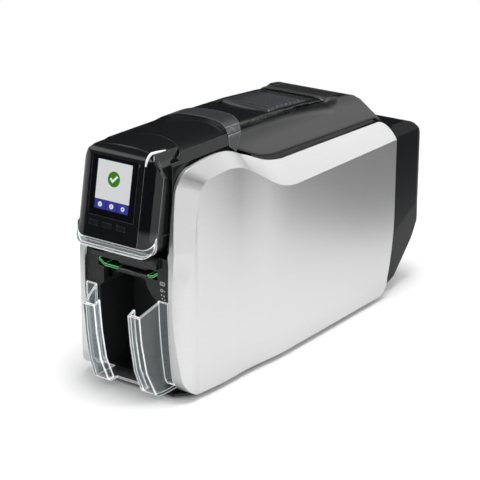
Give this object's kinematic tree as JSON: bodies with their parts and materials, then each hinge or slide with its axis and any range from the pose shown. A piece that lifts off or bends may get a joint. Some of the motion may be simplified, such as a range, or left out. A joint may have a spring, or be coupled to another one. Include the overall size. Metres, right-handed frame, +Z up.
{
  "type": "id card printer",
  "caption": "Desktop card printer with a hinged hopper door, lifting lid carrying the print head, clear output bin and driven rollers.",
  "frame": {"origin": "on the floor, under the centre of the bounding box", "axes": "+X to the viewer's right when facing the front, the front faces -Y, +Z up"},
  "size_m": [0.16, 0.48, 0.262],
  "materials": {
    "side_silver": "brushed silver paint",
    "gloss_black": "polished",
    "satin_grey": "satin",
    "collar_grey": "satin",
    "dark_plastic": "fine texture",
    "rear_black": "satin",
    "latch_black": "satin",
    "smoked_clear": "polished",
    "clear": "polished",
    "screen_glass": "polished",
    "screen_face": "backlit panel",
    "key_blue": "satin",
    "board_green": "solder mask",
    "guide_green": "translucent",
    "gate_grey": "smooth",
    "foot_rubber": "matte",
    "roller_rubber": "ground",
    "plate_steel": "zinc plated",
    "bar_steel": "ground",
    "gear_white": "moulded",
    "belt_black": "matte",
    "spool_plastic": "film roll",
    "film": "thin film",
    "head_metal": "machined",
    "socket_black": "moulded"
  },
  "bodies": {
    "base": {"base_tray": "dark_plastic", "foot_front_left": "foot_rubber", "foot_front_right": "foot_rubber", "foot_rear_left": "foot_rubber", "foot_rear_right": "foot_rubber", "side_panel_left": "side_silver", "side_panel_right": "side_silver", "front_bezel": "dark_plastic", "light_guide_left": "guide_green", "light_guide_right": "guide_green", "module_housing": "gloss_black", "card_hopper": "dark_plastic", "deck_frame": "dark_plastic", "rear_housing": "rear_black", "connector_plate": "plate_steel", "data_sockets": "socket_black", "power_inlet": "socket_black", "lid_hinge_rod": "bar_steel", "frame_plate_left": "plate_steel", "frame_plate_right": "plate_steel", "tie_bar_front": "bar_steel", "tie_bar_rear": "bar_steel", "card_track": "gate_grey", "drive_belt": "belt_black", "feed_motor": "plate_steel", "ribbon_cartridge": "dark_plastic", "ribbon_film": "film", "main_board": "board_green", "power_supply": "plate_steel"},
    "door": {"hopper_door": "gloss_black", "door_window": "smoked_clear", "door_rim": "clear", "display_glass": "screen_glass", "display_screen": "screen_face", "keypad_board": "board_green", "door_hinge_pin": "bar_steel"},
    "key_left": {"soft_key_left": "key_blue"},
    "key_middle": {"soft_key_middle": "key_blue"},
    "key_right": {"soft_key_right": "key_blue"},
    "lid": {"lid_cover": "satin_grey", "lid_inlay": "gloss_black", "lid_band": "collar_grey", "print_head": "head_metal", "head_bracket": "plate_steel"},
    "latch": {"lid_latch": "latch_black"},
    "gate": {"slot_gate": "gate_grey"},
    "pusher": {"card_pusher": "dark_plastic"},
    "bin": {"output_bin": "clear"},
    "power_key": {"power_button": "socket_black"},
    "platen": {"platen_roller": "roller_rubber"},
    "front_feed": {"front_feed_roller": "roller_rubber"},
    "rear_feed": {"rear_feed_roller": "roller_rubber", "feed_gear": "gear_white"},
    "cleaner": {"cleaning_roller": "roller_rubber"},
    "front_pinch": {"front_pinch_roller": "roller_rubber"},
    "rear_pinch": {"rear_pinch_roller": "roller_rubber"},
    "pinion": {"motor_pinion": "gear_white"},
    "supply": {"supply_spool": "spool_plastic"},
    "takeup": {"takeup_spool": "spool_plastic"}
  },
  "joints": [
    {"name": "hopper_door_hinge", "type": "hinge", "parent": "base", "child": "door", "pos_m": [-0.0494, -0.217, 0.1855], "axis": [0, 0, -1], "range_deg": [0, 90]},
    {"name": "key_left_press", "type": "slide", "parent": "door", "child": "key_left", "axis": [0, 0.9815, -0.1914], "range_m": [0, 0.0007], "stiffness_N_per_m": 400, "springref_m": -0.0005},
    {"name": "key_middle_press", "type": "slide", "parent": "door", "child": "key_middle", "axis": [0, 0.9815, -0.1914], "range_m": [0, 0.0007], "stiffness_N_per_m": 400, "springref_m": -0.0005},
    {"name": "key_right_press", "type": "slide", "parent": "door", "child": "key_right", "axis": [0, 0.9815, -0.1914], "range_m": [0, 0.0007], "stiffness_N_per_m": 400, "springref_m": -0.0005},
    {"name": "lid_hinge", "type": "hinge", "parent": "base", "child": "lid", "pos_m": [0, 0.162, 0.202], "axis": [-1, 0, 0], "range_deg": [0, 75]},
    {"name": "lid_latch_slide", "type": "slide", "parent": "lid", "child": "latch", "axis": [0, 1, 0], "range_m": [0, 0.006], "stiffness_N_per_m": 300, "springref_m": -0.002},
    {"name": "slot_gate_hinge", "type": "hinge", "parent": "base", "child": "gate", "pos_m": [0, -0.19, 0.138], "axis": [1, 0, 0], "range_deg": [0, 50], "stiffness_Nm_per_rad": 0.001, "springref_deg": -11.46},
    {"name": "card_pusher_slide", "type": "slide", "parent": "base", "child": "pusher", "axis": [0, 0, -1], "range_m": [0, 0.06]},
    {"name": "output_bin_slide", "type": "slide", "parent": "base", "child": "bin", "axis": [0, -1, 0], "range_m": [0, 0.03]},
    {"name": "power_button_press", "type": "slide", "parent": "base", "child": "power_key", "axis": [0, -1, 0], "range_m": [0, 0.0015], "stiffness_N_per_m": 500, "springref_m": -0.001},
    {"name": "rear_feed_spin", "type": "hinge", "parent": "base", "child": "rear_feed", "pos_m": [0, 0.07, 0.1255], "axis": [1, 0, 0], "continuous": true},
    {"name": "front_feed_spin", "type": "hinge", "parent": "base", "child": "front_feed", "pos_m": [0, -0.11, 0.1255], "axis": [1, 0, 0], "continuous": true},
    {"name": "platen_spin", "type": "hinge", "parent": "base", "child": "platen", "pos_m": [0, -0.01, 0.1255], "axis": [1, 0, 0], "continuous": true},
    {"name": "cleaner_spin", "type": "hinge", "parent": "base", "child": "cleaner", "pos_m": [0, -0.138, 0.1255], "axis": [1, 0, 0], "continuous": true},
    {"name": "front_pinch_spin", "type": "hinge", "parent": "base", "child": "front_pinch", "pos_m": [0, -0.11, 0.1395], "axis": [1, 0, 0], "continuous": true},
    {"name": "rear_pinch_spin", "type": "hinge", "parent": "base", "child": "rear_pinch", "pos_m": [0, 0.07, 0.1395], "axis": [1, 0, 0], "continuous": true},
    {"name": "motor_pinion_spin", "type": "hinge", "parent": "base", "child": "pinion", "pos_m": [0, 0.07, 0.1012], "axis": [1, 0, 0], "continuous": true},
    {"name": "supply_spin", "type": "hinge", "parent": "base", "child": "supply", "pos_m": [0, 0.036, 0.178], "axis": [1, 0, 0], "continuous": true},
    {"name": "takeup_spin", "type": "hinge", "parent": "base", "child": "takeup", "pos_m": [0, -0.06, 0.178], "axis": [1, 0, 0], "continuous": true}
  ],
  "couplings": [
    {"joint": "front_feed_spin", "follows": "rear_feed_spin", "ratio": 1},
    {"joint": "platen_spin", "follows": "rear_feed_spin", "ratio": 1},
    {"joint": "cleaner_spin", "follows": "rear_feed_spin", "ratio": 1},
    {"joint": "front_pinch_spin", "follows": "rear_feed_spin", "ratio": -1.6},
    {"joint": "rear_pinch_spin", "follows": "rear_feed_spin", "ratio": -1.6},
    {"joint": "motor_pinion_spin", "follows": "rear_feed_spin", "ratio": -3},
    {"joint": "takeup_spin", "follows": "supply_spin", "ratio": 1.3636}
  ]
}
